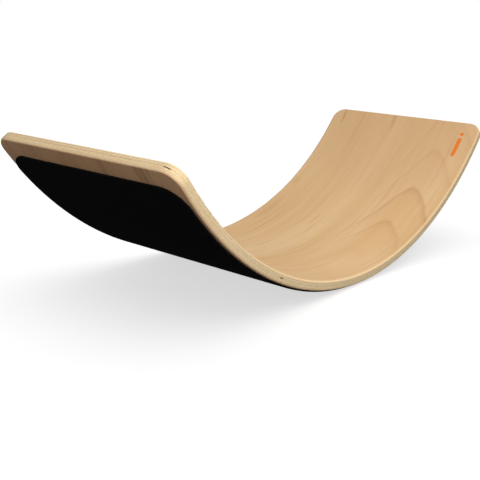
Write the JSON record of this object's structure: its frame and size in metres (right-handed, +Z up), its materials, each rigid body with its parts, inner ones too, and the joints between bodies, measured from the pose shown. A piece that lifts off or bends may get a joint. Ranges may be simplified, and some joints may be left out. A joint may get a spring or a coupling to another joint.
{
  "type": "balance board",
  "caption": "Curved rocker board of moulded beech plywood with rounded corners and a felted underside, for standing, sitting and rocking.",
  "frame": {"origin": "lowest point of the felt's underside, at mid-length and mid-width, where the board touches the floor at rest", "axes": "+X along the board's length, +Y across its width, +Z up; the deck is the hollow side, facing +Z"},
  "size_m": [0.7976, 0.3, 0.2098],
  "materials": {
    "deck_veneer": "clear matt lacquer on sanded beech",
    "long_grain_core": "sanded edge, lengthwise grain",
    "cross_grain_core": "sanded edge, crosswise grain",
    "back_veneer": "clear matt lacquer on sanded beech",
    "adhesive_film": "translucent self-adhesive film",
    "felt": "dense black needled felt"
  },
  "bodies": {
    "root": {"top_face_veneer": "deck_veneer", "upper_core_veneer": "long_grain_core", "lower_core_veneer": "long_grain_core", "bottom_face_veneer": "back_veneer", "felt_adhesive_film": "adhesive_film", "underside_felt": "felt", "lower_crossband_left_sheet": "cross_grain_core", "lower_crossband_middle_sheet": "cross_grain_core", "lower_crossband_right_sheet": "cross_grain_core", "centre_crossband_left_sheet": "cross_grain_core", "centre_crossband_middle_sheet": "cross_grain_core", "centre_crossband_right_sheet": "cross_grain_core", "upper_crossband_left_sheet": "cross_grain_core", "upper_crossband_middle_sheet": "cross_grain_core", "upper_crossband_right_sheet": "cross_grain_core"}
  },
  "joints": []
}
